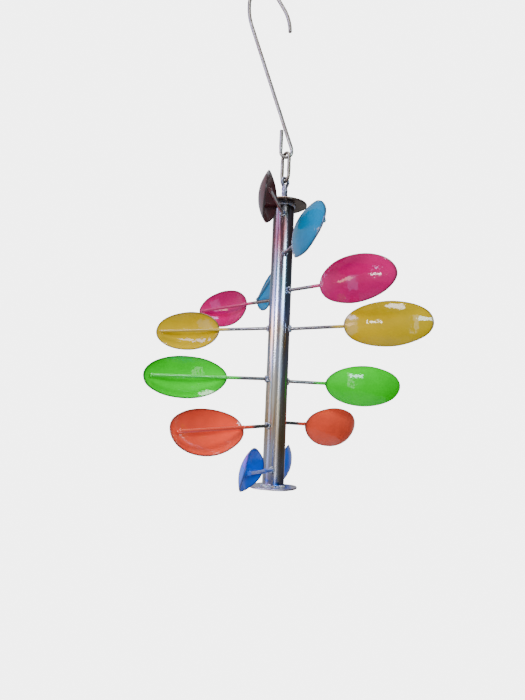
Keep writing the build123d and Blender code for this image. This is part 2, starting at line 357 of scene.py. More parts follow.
def lacquer(shader, weight, roughness):
    """Clear coat values."""
    shader.inputs["Coat Weight"].default_value = weight
    shader.inputs["Coat Roughness"].default_value = roughness
    shader.inputs["Coat IOR"].default_value = 1.5


def enamel(name, base):
    """Glossy enamel over sheet steel: cloudy depth, pooled paint at the rim, a worn dark edge, dust nibs."""
    made, tree, shader = new_material(f"{name}_enamel")
    base = Vector(base)
    deep, light = base * 0.62, base * 0.95 + Vector((0.012, 0.012, 0.012))
    worn = base * 0.15 + Vector((0.010, 0.010, 0.010))
    cloud = mottle(tree, Scale=38.0, Detail=3.0, Low=0.38, High=0.66)["Mask"]
    drift = mottle(tree, Scale=14.0, Detail=2.0, Low=0.45, High=0.75, Seed=3.0)["Mask"]
    pooled = rim(tree, Start=0.86, End=1.0, Ragged=0.05)
    nibs = specks(tree, Scale=330.0, Size=0.13, Thin_Out=0.93)
    edge = rim(tree, Start=0.950, End=0.982, Ragged=0.03)
    shade = base
    for mask, strength, over in (
        (cloud, 0.35, deep),
        (drift, 0.28, light),
        (pooled, 0.45, deep),
        (nibs, 0.35, light),
        (edge, 0.85, worn),
    ):
        shade = wash(tree, mask, strength, shade, over)
    rough = spread(tree, cloud, 0.0, 1.0, 0.05, 0.11)
    feed(
        tree,
        shader,
        Base_Color=shade,
        Roughness=maths(tree, "ADD", rough, maths(tree, "MULTIPLY", edge, 0.25)),
        Normal=relief(tree, Scale=85.0, Detail=2.5, Depth=0.0007, Seed=1.0),
        Specular_IOR_Level=0.42,
    )
    return made


def sprayed_rod(name, base):
    """Dark rod that turns into paint where the spray reached it, from the rod's own length map."""
    made, tree, shader = new_material(f"{name}_rod")
    painted = put(tree, "ShaderNodeAttribute", {"attribute_name": "Painted"}).outputs["Fac"]
    grain = mottle(tree, Scale=900.0, Detail=4.0, Seed=5.0)["Raw"]
    cover = spread(tree, maths(tree, "ADD", painted, swing(tree, grain, 0.8)), 0.25, 0.75)
    rust = mottle(tree, Scale=160.0, Detail=4.0, Low=0.5, High=0.7, Seed=2.0)["Mask"]
    steel = blend_colours(tree, rust, (0.15, 0.145, 0.16), (0.11, 0.07, 0.06))
    feed(
        tree,
        shader,
        Base_Color=blend_colours(tree, cover, steel, Vector(base) * 0.85),
        Metallic=spread(tree, cover, 0.0, 1.0, 0.85, 0.0),
        Roughness=spread(tree, grain, 0.3, 0.7, 0.22, 0.42),
        Normal=relief(tree, Scale=500.0, Detail=2.0, Depth=0.00004, Seed=4.0),
    )
    lacquer(shader, 0.8, 0.08)
    return made


SPILL_HEIGHT = 0.014
# share of the tube's height, colour
HEAT_TINTS = (
    (0.00, (0.22, 0.22, 0.42)),
    (0.07, (0.44, 0.50, 0.64)),
    (0.17, (0.47, 0.32, 0.15)),
    (0.29, (0.54, 0.48, 0.33)),
    (0.41, (0.38, 0.46, 0.64)),
    (0.53, (0.38, 0.30, 0.24)),
    (0.63, (0.28, 0.36, 0.72)),
    (0.75, (0.17, 0.29, 0.38)),
    (0.86, (0.24, 0.065, 0.085)),
    (0.93, (0.12, 0.045, 0.060)),
    (0.965, (0.040, 0.034, 0.032)),
    (1.00, (0.030, 0.026, 0.024)),
)


def tinted_tube():
    """Heat-tinted drawn steel under lacquer: colours climb the tube, and dark and pale streaks run along it,
    partly drawing marks and partly painted reflection baked into the colour.
    """
    made, tree, shader = new_material("heat_tinted_tube")
    spot = put(tree, "ShaderNodeTexCoord").outputs["Object"]
    height = put(tree, "ShaderNodeSeparateXYZ", Vector=spot).outputs["Z"]
    climb = spread(tree, height, TUBE_LOW.z, TUBE_HIGH.z)
    wander = mottle(tree, Scale=95.0, Stretch=9.0, Detail=4.0, Seed=7.0)["Raw"]
    tint = ramp(tree, maths(tree, "ADD", climb, swing(tree, wander, 0.45)), HEAT_TINTS)
    # dark and pale streaks along the tube: partly drawing marks, partly painted reflection of the room's dark
    # and bright sides
    grind_and_dark_reflection = mottle(tree, Scale=260.0, Stretch=26.0, Detail=5.0, Low=0.42, High=0.62, Seed=11.0)["Mask"]
    grind_and_highlight = mottle(tree, Scale=170.0, Stretch=18.0, Detail=4.0, Low=0.52, High=0.68, Seed=13.0)["Mask"]
    spatter = specks(tree, Scale=620.0, Size=0.2, Thin_Out=0.86)
    low_down = spread(tree, height, TUBE_LOW.z + SPILL_HEIGHT, TUBE_LOW.z + 0.2 * SPILL_HEIGHT)
    blots = mottle(tree, Scale=110.0, Detail=2.0, Low=0.50, High=0.54, Seed=17.0)["Mask"]
    for mask, strength, over in (
        # the dark and pale streak washes are partly painted reflection
        (grind_and_dark_reflection, 0.45, (0.20, 0.10, 0.09)),
        (grind_and_highlight, 0.45, (0.62, 0.66, 0.78)),
        (spatter, 0.5, (0.05, 0.04, 0.04)),
        (low_down, blots, (0.01, 0.10, 0.50)),
    ):
        tint = wash(tree, mask, strength, tint, over)
    feed(
        tree,
        shader,
        Base_Color=tint,
        Roughness=spread(tree, grind_and_dark_reflection, 0.0, 1.0, 0.16, 0.30),
        Metallic=1.0,
        Normal=relief(tree, Scale=300.0, Stretch=24.0, Detail=3.0, Depth=0.00006),
    )
    lacquer(shader, 0.6, 0.06)
    return made


def plain_metal(name, base, dark, scale, stretch, rough, depth, metallic, coat):
    """Bare metal: two shades clouded together, brush marks or mill scale, pits."""
    made, tree, shader = new_material(name)
    cloud = mottle(tree, Scale=scale, Stretch=stretch, Detail=5.0, Low=0.38, High=0.66, Seed=scale)["Mask"]
    pits = specks(tree, Scale=scale * 4, Size=0.2, Thin_Out=0.8)
    feed(
        tree,
        shader,
        Base_Color=wash(tree, pits, 0.5, blend_colours(tree, cloud, base, dark), Vector(dark) * 0.4),
        Roughness=spread(tree, cloud, 0.0, 1.0, rough, rough + 0.18),
        Metallic=metallic,
        Normal=relief(tree, Scale=scale * 3, Stretch=stretch, Depth=depth),
    )
    lacquer(shader, coat, 0.08)
    return made


def weld_metal():
    """Weld metal: silver and straw ripples with blue heat bloom."""
    made, tree, shader = new_material("weld_metal")
    cloud = mottle(tree, Scale=260.0, Detail=4.0, Low=0.35, High=0.65, Seed=21.0)["Raw"]
    bloom = (
        (0.32, (0.05, 0.05, 0.07)),
        (0.45, (0.20, 0.24, 0.36)),
        (0.55, (0.45, 0.46, 0.50)),
        (0.68, (0.30, 0.22, 0.14)),
    )
    feed(
        tree,
        shader,
        Base_Color=ramp(tree, cloud, bloom),
        Roughness=spread(tree, cloud, 0.3, 0.7, 0.2, 0.45),
        Metallic=0.9,
        Normal=relief(tree, Scale=900.0, Detail=3.0, Depth=0.0002, Seed=6.0),
    )
    lacquer(shader, 0.5, 0.1)
    return made


FINISHES = {}


def material(name, maker, *values):
    """The finish of that name, made when first asked for. The frame's own materials are never used."""
    if name not in FINISHES:
        FINISHES[name] = maker(*values)
    return FINISHES[name]


def metal(name):
    """One of the plain metals, by name."""
    return material(name, plain_metal, name, *METALS[name])


# two colours, scale, stretch, roughness, relief depth, metallic and coat
METALS = {
    "zinc_hook": ((0.30, 0.285, 0.27), (0.20, 0.165, 0.15), 60.0, 2.0, 0.30, 0.00004, 0.9, 0.0),
    "link_steel": ((0.25, 0.225, 0.18), (0.13, 0.10, 0.08), 90.0, 2.0, 0.32, 0.0001, 0.9, 0.0),
    "galvanised": ((0.25, 0.25, 0.32), (0.07, 0.07, 0.10), 240.0, 1.0, 0.30, 0.0004, 0.85, 0.0),
    "burnt_plate": ((0.120, 0.068, 0.048), (0.034, 0.024, 0.020), 70.0, 1.0, 0.25, 0.0001, 0.8, 0.6),
    "lilac_plate": ((0.44, 0.40, 0.54), (0.26, 0.22, 0.30), 60.0, 1.0, 0.24, 0.0001, 0.9, 0.5),
    "oiled_bronze": ((0.50, 0.32, 0.12), (0.25, 0.15, 0.06), 300.0, 1.0, 0.30, 0.0001, 1.0, 0.0),
    "bearing_steel": ((0.70, 0.71, 0.73), (0.50, 0.51, 0.53), 400.0, 1.0, 0.10, 0.00003, 1.0, 0.0),
    "plated_steel": ((0.55, 0.54, 0.50), (0.40, 0.38, 0.34), 300.0, 1.0, 0.25, 0.00008, 1.0, 0.0),
}


# ---- mesh helpers --------------------------------------------------------------------------------------------
def new_object(name, verts, faces):
    """Mesh object, smooth shaded, linked to the scene."""
    mesh = bpy.data.meshes.new(name)
    mesh.from_pydata([tuple(v) for v in verts], [], faces)
    mesh.validate()
    mesh.shade_smooth()
    made = bpy.data.objects.new(name, mesh)
    bpy.context.scene.collection.objects.link(made)
    return made


def bake(obj):
    """Turns live modifiers into a plain mesh."""
    graph = bpy.context.evaluated_depsgraph_get()
    graph.update()
    mesh = bpy.data.meshes.new_from_object(obj.evaluated_get(graph), depsgraph=graph)
    obj.modifiers.clear()
    old = obj.data
    obj.data = mesh
    bpy.data.meshes.remove(old)
    return obj


def join_objects(name, objects):
    """Joins objects into one of that name."""
    with bpy.context.temp_override(active_object=objects[0], selected_editable_objects=objects):
        bpy.ops.object.join()
    objects[0].name = name
    objects[0].data.name = name
    return objects[0]


def grow(obj, tree, finish, **values):
    """Puts a geometry tree on an object. Values are given by the tree's own socket names."""
    modifier = obj.modifiers.new(tree.name, "NODES")
    modifier.node_group = tree
    values["Material"] = finish
    for item in tree.interface.items_tree:
        key = item.name.replace(" ", "_")
        if item.in_out == "INPUT" and key in values:
            modifier[item.identifier] = values[key]
    return obj


def grown(name, tree, finish, **values):
    """An object made whole by a geometry tree, baked."""
    return bake(grow(new_object(name, [(0, 0, 0)], []), tree, finish, **values))


def finish_piece(obj, body, slot_name, *nodes):
    """Puts a finished piece in the frame."""
    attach(obj, body)
    if nodes:
        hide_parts(*nodes)


def node_points(name):
    """A frame node's points, in the row frame."""
    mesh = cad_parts[name].data
    points = np.empty(len(mesh.vertices) * 3)
    mesh.vertices.foreach_get("co", points)
    points = points.reshape(-1, 3)
    world = np.array(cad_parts[name].matrix_world)
    return points @ world[:3, :3].T + world[:3, 3]


def arm_axes(name):
    """An arm's root point, its direction and length, and its paddle's upward axis, all read from the frame."""
    points = node_points(f"arm_{name}")
    centre = points.mean(axis=0)
    along = np.linalg.svd(points - centre, full_matrices=False)[2][0]
    if along[:2] @ centre[:2] < 0:
        along = -along
    reach = (points - centre) @ along
    start, end = centre + along * reach.min(), centre + along * reach.max()
    sheet = node_points(f"paddle_{name}") - start
    across = np.cross((0, 0, 1), along)
    across /= np.linalg.norm(across)
    level_up = np.cross(along, across)
    flat = np.stack([sheet @ across, sheet @ level_up], axis=1)
    spread_of = np.linalg.svd(flat - flat.mean(axis=0), full_matrices=False)[2][0]
    up = across * spread_of[0] + level_up * spread_of[1]
    up = up if up[2] > 0 else -up
    return Vector(start), Vector(end), Vector(along).normalized(), Vector(up).normalized()


def to_frame(obj, along, up, start):
    """Places a mesh made in an arm's own axes."""
    hollow = up.cross(along).normalized()
    up = along.cross(hollow)
    turn = Matrix((along, hollow, up)).transposed().to_4x4()
    obj.data.transform(Matrix.Translation(start) @ turn)


# ---- geometry trees ------------------------------------------------------------------------------------------
def geometry_tree(name, inputs):
    """Geometry tree with its named inputs, a geometry in and out, and a material."""
    sockets = [("Geometry", "NodeSocketGeometry", None), *inputs, ("Material", "NodeSocketMaterial", None)]
    return tree_with(name, "GeometryNodeTree", sockets, [("Geometry", "NodeSocketGeometry")])


def close_tree(tree, geometry, given, out):
    """Realize Instances and Set Material, which every tree ends in."""
    real = put(tree, "GeometryNodeRealizeInstances", Geometry=geometry).outputs[0]
    smooth = put(tree, "GeometryNodeSetShadeSmooth", Geometry=real).outputs[0]
    last = put(tree, "GeometryNodeSetMaterial", Geometry=smooth, Material=given["Material"]).outputs[0]
    join(tree, out["Geometry"], last)
    return tree


def make_press(name):
    """Presses a flat oval blank over the dishing form, with the unevenness of hand work."""
    tree, given, out = geometry_tree(
        name, floats(Long_Radius=0.1, Cross_Radius=0.04, Floor=-0.02, Middle=0.1, Hammer_Depth=0.0012, Seed=0.0)
    )
    place_of = put(tree, "GeometryNodeInputPosition").outputs[0]
    axes = put(tree, "ShaderNodeSeparateXYZ", Vector=place_of).outputs
    rise = arc_height(tree, given["Cross Radius"], axes["Z"])
    ring = maths(tree, "ADD", maths(tree, "SUBTRACT", given["Long Radius"], given["Cross Radius"]), rise)
    centre = maths(tree, "ADD", given["Floor"], given["Long Radius"])
    bowl = maths(tree, "SUBTRACT", centre, arc_height(tree, ring, axes["X"]))
    wave = swing(tree, waves(tree, place_of, given["Seed"], 34.0, 1.5)["Fac"], given["Hammer Depth"])
    moved = put(
        tree, "ShaderNodeCombineXYZ", X=given["Middle"], Y=maths(tree, "ADD", bowl, wave), Z=0.0
    ).outputs[0]
    pressed = put(tree, "GeometryNodeSetPosition", Geometry=given["Geometry"], Offset=moved).outputs[0]
    return close_tree(tree, pressed, given, out)


def make_rod(name):
    """Round rod along X, a little wavy, with how far the paint reaches stored on it."""
    tree, given, out = geometry_tree(
        name,
        floats(Start=0.0, Length=0.14, Radius=0.002, Paint_Start=0.03, Paint_End=0.05, Waver=0.0003, Seed=0.0),
    )
    start = put(tree, "ShaderNodeCombineXYZ", X=given["Start"]).outputs[0]
    end = put(tree, "ShaderNodeCombineXYZ", X=given["Length"]).outputs[0]
    line = put(tree, "GeometryNodeCurvePrimitiveLine", Start=start, End=end).outputs[0]
    line = put(tree, "GeometryNodeResampleCurve", Curve=line, Count=70).outputs[0]
    where = put(tree, "GeometryNodeInputPosition").outputs[0]
    wave = waves(tree, where, given["Seed"], 18.0, 1.0)["Color"]
    scaled = put(tree, "ShaderNodeVectorMath", {"operation": "SCALE"}, Scale=given["Waver"])
    join(tree, scaled.inputs[0], vector_maths(tree, "SUBTRACT", wave, (0.5, 0.5, 0.5))[0])
    line = put(tree, "GeometryNodeSetPosition", Geometry=line, Offset=scaled.outputs[0]).outputs[0]
    along = put(tree, "ShaderNodeSeparateXYZ", Vector=where).outputs["X"]
    painted = spread(tree, along, given["Paint Start"], given["Paint End"])
    ring = put(tree, "GeometryNodeCurvePrimitiveCircle", Resolution=20, Radius=given["Radius"]).outputs[0]
    solid = put(tree, "GeometryNodeCurveToMesh", Curve=line, Profile_Curve=ring, Fill_Caps=True).outputs[0]
    stored = put(
        tree,
        "GeometryNodeStoreNamedAttribute",
        {"data_type": "FLOAT", "domain": "POINT"},
        Geometry=solid,
        Name="Painted",
        Value=painted,
    ).outputs[0]
    return close_tree(tree, stored, given, out)


SMALL_BEAD, LARGE_BEAD = 0.78, 1.16
BEAD_FLATNESS = 0.62


def make_weld_run(name):
    """A run of weld ripples round the X axis. Saddle bends the ring over a tube of that radius."""
    tree, given, out = geometry_tree(
        name,
        [
            *floats(Ring=0.003, Bead=0.0016),
            ("Count", "NodeSocketInt", 9),
            *floats(Saddle=1.0, At=0.0, Waver=0.0005),
            ("Seed", "NodeSocketInt", 0),
        ],
    )
    ring = put(tree, "GeometryNodeCurvePrimitiveCircle", Resolution=64, Radius=given["Ring"]).outputs[0]
    ring = put(tree, "GeometryNodeResampleCurve", Curve=ring, Count=given["Count"]).outputs[0]
    where = put(tree, "GeometryNodeInputPosition").outputs[0]
    axes = put(tree, "ShaderNodeSeparateXYZ", Vector=where).outputs
    drop = maths(tree, "SUBTRACT", arc_height(tree, given["Saddle"], axes["X"]), given["Saddle"])
    wobble = put(tree, "FunctionNodeRandomValue", Seed=given["Seed"]).outputs[1]
    shift = swing(tree, wobble, given["Waver"])
    spot = put(
        tree,
        "ShaderNodeCombineXYZ",
        X=maths(tree, "ADD", maths(tree, "ADD", drop, shift), given["At"]),
        Y=axes["X"],
        Z=axes["Y"],
    ).outputs[0]
    ring = put(tree, "GeometryNodeSetPosition", Geometry=ring, Position=spot).outputs[0]
    drop_of_metal = put(tree, "GeometryNodeMeshIcoSphere", Radius=given["Bead"], Subdivisions=3).outputs[0]
    squash = (1.0, BEAD_FLATNESS, 1.0)
    flat = put(tree, "GeometryNodeTransform", Geometry=drop_of_metal, Scale=squash).outputs[0]
    tangent = put(tree, "GeometryNodeInputTangent").outputs[0]
    turn = put(tree, "FunctionNodeAlignRotationToVector", {"axis": "Y"}, Vector=tangent).outputs[0]
    size = put(tree, "FunctionNodeRandomValue", Seed=maths(tree, "ADD", given["Seed"], 7))
    for socket, value in zip(size.inputs[2:4], (SMALL_BEAD, LARGE_BEAD)):
        socket.default_value = value
    run = put(
        tree, "GeometryNodeInstanceOnPoints", Points=ring, Instance=flat, Rotation=turn, Scale=size.outputs[1]
    ).outputs[0]
    return close_tree(tree, run, given, out)


# ---- paddles and arms ----------------------------------------------------------------------------------------
BLANK_STEPS = 44
EDGE_ANGLE = math.radians(40)
SEAT = 0.0005


def oval_blank(name, long_size, wide_size, seed):
    """Square grid drawn out to a flat oval, its outline a little uneven, with its outline map."""
    verts, flat, faces = [], [], []
    for row in range(BLANK_STEPS + 1):
        for column in range(BLANK_STEPS + 1):
            a, b = 2 * column / BLANK_STEPS - 1, 2 * row / BLANK_STEPS - 1
            s, t = a * math.sqrt(1 - b * b / 2), b * math.sqrt(1 - a * a / 2)
            turn, reach = math.atan2(t, s), math.hypot(s, t)
            uneven = noise.noise(Vector((1.6 * math.cos(turn), 1.6 * math.sin(turn), seed)))
            grown = 1 + 0.022 * uneven * reach**3
            verts.append((s * long_size / 2 * grown, 0.0, t * wide_size / 2 * grown))
            flat.append((0.5 + s / 2, 0.5 + t / 2))
    wide = BLANK_STEPS + 1
    for row in range(BLANK_STEPS):
        for column in range(BLANK_STEPS):
            first = row * wide + column
            faces.append((first, first + wide, first + wide + 1, first + 1))
    made = new_object(name, verts, faces)
    layer = made.data.uv_layers.new(name="Outline")
    for loop in made.data.loops:
        layer.data[loop.index].uv = flat[loop.vertex_index]
    return made


def paddle_piece(name, paint, settings, seed):
    """One dished, painted paddle."""
    start, _, along, up = arm_axes(name)
    hollow = up.cross(along).normalized()
    points = node_points(f"paddle_{name}") - np.array(start)
    x, z = points @ np.array(along), points @ np.array(along.cross(hollow))
    long_size, wide_size = x.max() - x.min(), z.max() - z.min()
    middle = (x.max() + x.min()) / 2
    floor = -(
        settings.long_radius
        - math.sqrt(settings.long_radius**2 - (long_size / 2) ** 2)
        + bpy.context.scene.spinner_steel.rod_radius
        - SEAT
    )
    made = oval_blank(f"enamel_{name}", long_size, wide_size, seed)
    grow(
        made,
        shared("Press dish", make_press),
        paint,
        Long_Radius=settings.long_radius,
        Cross_Radius=settings.cross_radius,
        Floor=floor,
        Middle=middle,
        Hammer_Depth=settings.hammer_depth,
        Seed=float(seed),
    )
    wall = made.modifiers.new("Sheet", "SOLIDIFY")
    wall.thickness = settings.sheet
    wall.offset = -1.0
    wall.use_even_offset = True
    rim = made.modifiers.new("Ground rim", "BEVEL")
    rim.width = settings.rim_round
    rim.segments = 3
    rim.limit_method = "ANGLE"
    rim.angle_limit = EDGE_ANGLE
    bake(made)
    to_frame(made, along, up, start)
    return made


class SPINNER_OT_paddles(bpy.types.Operator):
    """Dished oval paddles, two on each level, each pressed from a flat blank and enamelled"""

    bl_idname = "spinner.paddles"
    bl_label = "Paddles"

    def execute(self, context):
        settings, paint = context.scene.spinner_paddles, context.scene.spinner_paint
        for level, shade in enumerate(COLOURS):
            coat = material(f"{shade}_enamel", enamel, shade, getattr(paint, shade))
            for side, letter in enumerate(SIDES):
                name = f"{shade}_{letter}"
                made = paddle_piece(name, coat, settings, 2 * level + side + 1)
                finish_piece(made, "rotor", f"{shade}_enamel", f"paddle_{name}")
        return {"FINISHED"}


SPRAYED_TO_THE_TUBE = ("maroon", "blue")
ROD_START = 0.0006
ROD_SHORT_OF_ARM = 0.0065
ROOT_WELD_AT = 0.0013
NEAR_WELD_IN = 0.0015
FAR_WELD_IN = 0.0095
ROOT_RING_SHARE = 1.35
TIP_RING_SHARE = 0.7
TIP_BEAD_SHARE = 0.85
TIP_SEEDS = 40
FULL_SPRAY_END = 0.006


class SPINNER_OT_arms(bpy.types.Operator):
    """Arm rods with their welds: bare at the tube, sprayed with their paddle's colour further out"""

    bl_idname = "spinner.arms"
    bl_label = "Arms"

    def execute(self, context):
        paint, steel = context.scene.spinner_paint, context.scene.spinner_steel
        for level, shade in enumerate(COLOURS):
            coat = material(f"{shade}_rod", sprayed_rod, shade, getattr(paint, shade))
            for side, letter in enumerate(SIDES):
                name = f"{shade}_{letter}"
                made = arm_piece(name, shade in SPRAYED_TO_THE_TUBE, coat, steel, 2 * level + side)
                finish_piece(made, "rotor", "rod_steel", f"arm_{name}")
        return {"FINISHED"}


def arm_piece(name, sprayed, coat, steel, seed):
    """One arm: its rod, the weld at the tube and the welds at the paddle's two tips."""
    start, end, along, up = arm_axes(name)
    sheet = (node_points(f"paddle_{name}") - np.array(start)) @ np.array(along)
    stem = sheet.min()
    rod = grown(
        f"rod_{name}",
        shared("Round rod", make_rod),
        coat,
        Start=ROD_START,
        Length=(end - start).length - ROD_SHORT_OF_ARM,
        Radius=steel.rod_radius,
        Paint_Start=0.0 if sprayed else stem - steel.bare_rod,
        Paint_End=FULL_SPRAY_END if sprayed else stem - 0.3 * steel.bare_rod,
        Waver=0.0005,
        Seed=float(seed),
    )
    run = shared("Weld run", make_weld_run)
    root = grown(
        f"root_{name}",
        run,
        material("weld_metal", weld_metal),
        Ring=steel.rod_radius * ROOT_RING_SHARE,
        Bead=steel.bead,
        Count=11,
        Saddle=TUBE_RADIUS,
        At=ROOT_WELD_AT,
        Waver=0.0008,
        Seed=seed,
    )
    tips = []
    for number, at in enumerate((stem + NEAR_WELD_IN, sheet.max() - FAR_WELD_IN)):
        tip = grown(
            f"tip_{name}_{number}",
            run,
            coat,
            Ring=steel.rod_radius * TIP_RING_SHARE,
            Bead=steel.bead * TIP_BEAD_SHARE,
            Count=7,
            Saddle=1.0,
            At=at,
            Waver=0.0016,
            Seed=seed + TIP_SEEDS + number,
        )
        paint_all(tip)
        tips.append(tip)
    made = join_objects(f"rod_{name}", [rod, root, *tips])
    to_frame(made, along, up, start)
    return made


def paint_all(obj):
    """Marks every point as painted."""
    layer = obj.data.attributes.new("Painted", "FLOAT", "POINT")
    layer.data.foreach_set("value", [1.0] * len(obj.data.vertices))


# ---- tube and discs ------------------------------------------------------------------------------------------
TUBE_SIDES = 144
TUBE_RINGS = 120
TUBE_BORE_INSET = 0.0016
END_ROUND = 0.0003


def hoops(rows, sides, inward=False):
    """Faces between closed rings of points, the last ring joined to the first."""
    faces = []
    for row in range(rows):
        below = (row + 1) % rows
        for step in range(sides):
            beside = (step + 1) % sides
            a, b = row * sides + step, row * sides + beside
            c, d = below * sides + beside, below * sides + step
            faces.append((a, d, c, b) if inward else (a, b, c, d))
    return faces


def lathe(name, profile, sides, waver, seed):
    """Closed ring of revolution from a closed (radius, z) profile, with a little unevenness."""
    verts = []
    for radius, z in profile:
        for step in range(sides):
            turn = 2 * math.pi * step / sides
            spot = Vector((math.cos(turn) * 1.4, math.sin(turn) * 1.4, z * 16 + seed))
            r = radius + waver * noise.noise(spot)
            verts.append((r * math.cos(turn), r * math.sin(turn), z))
    return new_object(name, verts, hoops(len(profile), sides))


class SPINNER_OT_tube(bpy.types.Operator):
    """Heat-tinted drawn tube, open inside"""

    bl_idname = "spinner.tube"
    bl_label = "Tube"

    def execute(self, context):
        steel = context.scene.spinner_steel
        low, high = TUBE_LOW.z, TUBE_HIGH.z
        inside = TUBE_RADIUS - TUBE_BORE_INSET
        profile = [(inside, high), (inside, low), (TUBE_RADIUS - END_ROUND, low)]
        for step in range(TUBE_RINGS + 1):
            profile.append((TUBE_RADIUS, low + END_ROUND + (high - low - 2 * END_ROUND) * step / TUBE_RINGS))
        profile.append((TUBE_RADIUS - END_ROUND, high))
        made = lathe("tube_skin", profile, TUBE_SIDES, steel.tube_waver, 4.0)
        made.data.materials.append(material("heat_tinted_tube", tinted_tube))
        finish_piece(made, "rotor", "tube_steel", "spinner_tube")
        return {"FINISHED"}


DISC_SIDES = 180
DISC_RINGS = 26
DISC_EDGE = 0.0005
DISC_WAVE = 0.0007


def cut_disc(name, low, high, hole, ragged, seed):
    """Hand-cut round plate: uneven outline, softened edges and a slightly wavy face."""
    radius = (high.x - low.x) / 2
    edge = DISC_EDGE / radius
    shares = [hole] + [hole + (1 - hole) * k / DISC_RINGS for k in range(1, DISC_RINGS + 1)]
    top = [(min(share, 1 - edge), 1.0) for share in shares]
    rim_rings = [(1 - 0.3 * edge, 0.82), (1.0, 0.5), (1 - 0.3 * edge, 0.18)]
    under = [(share, 0.0) for share, _ in reversed(top)]
    rings = top + rim_rings + under
    verts = []
    for share, level in rings:
        for step in range(DISC_SIDES):
            turn = 2 * math.pi * step / DISC_SIDES
            wander = noise.noise(Vector((2.2 * math.cos(turn), 2.2 * math.sin(turn), seed)))
            nick = noise.noise(Vector((9 * math.cos(turn), 9 * math.sin(turn), seed + 5)))
            r = radius * share * (1 + ragged * (wander + 0.35 * nick) * share**6)
            x, y = r * math.cos(turn), r * math.sin(turn)
            wave = DISC_WAVE * noise.noise(Vector((x * 40, y * 40, seed))) * max(0.0, share - 0.5) * 2
            verts.append((x, y, low.z + (high.z - low.z) * level + wave))
    return new_object(name, verts, hoops(len(rings), DISC_SIDES, inward=True))


def ring_weld(name, z, count, bead, seed):
    """Run of weld ripples round the upright tube at height z."""
    made = grown(
        name,
        shared("Weld run", make_weld_run),
        material("weld_metal", weld_metal),
        Ring=TUBE_RADIUS + DISC_WELD_OUT,
        Bead=bead,
        Count=count,
        Saddle=1.0,
        At=0.0,
        Waver=0.0007,
        Seed=seed,
    )
    made.data.transform(Matrix.Translation((0, 0, z)) @ Matrix.Rotation(math.radians(-90), 4, "Y"))
    return made


BUSH_RADIUS = 0.00455
DRAIN_SHARE = 0.002
DISC_WELD_IN = 0.0005
DISC_WELD_OUT = 0.0004


class SPINNER_OT_discs(bpy.types.Operator):
    """Hand-cut end plates, with the welds that hold them to the tube"""

    bl_idname = "spinner.discs"
    bl_label = "End discs"

    def execute(self, context):
        bead = context.scene.spinner_steel.bead
        low, high = (Vector(corner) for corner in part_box("top_disc"))
        low.z = TUBE_HIGH.z
        top = cut_disc("top_plate", low, high, BUSH_RADIUS / high.x, 0.012, 2.0)
        top.data.materials.append(metal("burnt_plate"))
        finish_piece(top, "rotor", "burnt_steel", "top_disc")
        low, high = (Vector(corner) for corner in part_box("bottom_disc"))
        high.z = TUBE_LOW.z
        bottom = cut_disc("bottom_plate", low, high, DRAIN_SHARE, 0.02, 9.0)
        bottom.data.materials.append(metal("lilac_plate"))
        finish_piece(bottom, "rotor", "disc_steel", "bottom_disc")
        welds = join_objects(
            "disc_welds",
            [
                ring_weld("weld_top", TUBE_HIGH.z - DISC_WELD_IN, 60, bead, 3),
                ring_weld("weld_bottom", TUBE_LOW.z + DISC_WELD_IN, 64, bead, 8),
            ],
        )
        finish_piece(welds, "rotor", "tube_steel")
        return {"FINISHED"}


# ---- hook, link, shaft and bearing ---------------------------------------------------------------------------
def dress(name, finish):
    """Gives a frame node its material."""
    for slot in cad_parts[name].material_slots:
        slot.material = finish


REMESH_SIZE = 0.00042
SKIN_FADE = 0.003
RUN_GAP = 0.0015
LINK_BOW = 0.0085
MERGE_DISTANCE = 1e-6
# how much thicker than the frame's piece, how high the lumps, how close the lumps
HOOK_SKIN = (0.00030, 0.00010, 180.0)
LINK_SKIN = (0.00020, 0.00030, 160.0)
SHAFT_SKIN = (0.00025, 0.00110, 260.0)


def galvanised_copy(name, source, finish, skin, low=-math.inf, high=math.inf):
    """A frame node's remeshed copy, made thicker and lumpy from low to high, clear of what it bears on."""
    swell, lump, lump_scale = skin
    made = bpy.data.objects.new(name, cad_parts[source].data.copy())
    made.data.name = name
    bpy.context.scene.collection.objects.link(made)
    body = bmesh.new()
    body.from_mesh(made.data)
    bmesh.ops.remove_doubles(body, verts=body.verts, dist=MERGE_DISTANCE)
    body.to_mesh(made.data)
    body.free()
    cells = made.modifiers.new("Even cells", "REMESH")
    cells.mode = "VOXEL"
    cells.voxel_size = REMESH_SIZE
    cells.use_smooth_shade = True
    bake(made)
    mesh = made.data
    normals = [vertex.normal.copy() for vertex in mesh.vertices]
    for vertex, normal in zip(mesh.vertices, normals):
        inside = min(vertex.co.z - low, high - vertex.co.z) / SKIN_FADE
        bulge = swell + lump * noise.noise(vertex.co * lump_scale)
        vertex.co += normal * bulge * min(max(inside, 0.0), 1.0)
    mesh.shade_smooth()
    mesh.materials.clear()
    mesh.materials.append(metal(finish))
    return made


class SPINNER_OT_hanger(bpy.types.Operator):
    """S hook, chain link and swivel shaft, each with its skin of zinc"""

    bl_idname = "spinner.hanger"
    bl_label = "Hanger"

    def execute(self, context):
        low, high = (corner[2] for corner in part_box("chain_link"))
        disc_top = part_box("top_disc")[1][2]
        hook = galvanised_copy("hook_wire", "s_hook", "zinc_hook", HOOK_SKIN, high + RUN_GAP)
        finish_piece(hook, "hook", "hook_steel", "s_hook")
        link = galvanised_copy(
            "link_wire", "chain_link", "link_steel", LINK_SKIN, low + LINK_BOW, high - LINK_BOW
        )
        finish_piece(link, "link", "link_steel", "chain_link")
        shaft = galvanised_copy(
            "shaft_skin", "swivel_shaft", "galvanised", SHAFT_SKIN, disc_top + RUN_GAP, low - RUN_GAP
        )
        finish_piece(shaft, "swivel", "galvanised_steel", "swivel_shaft")
        return {"FINISHED"}


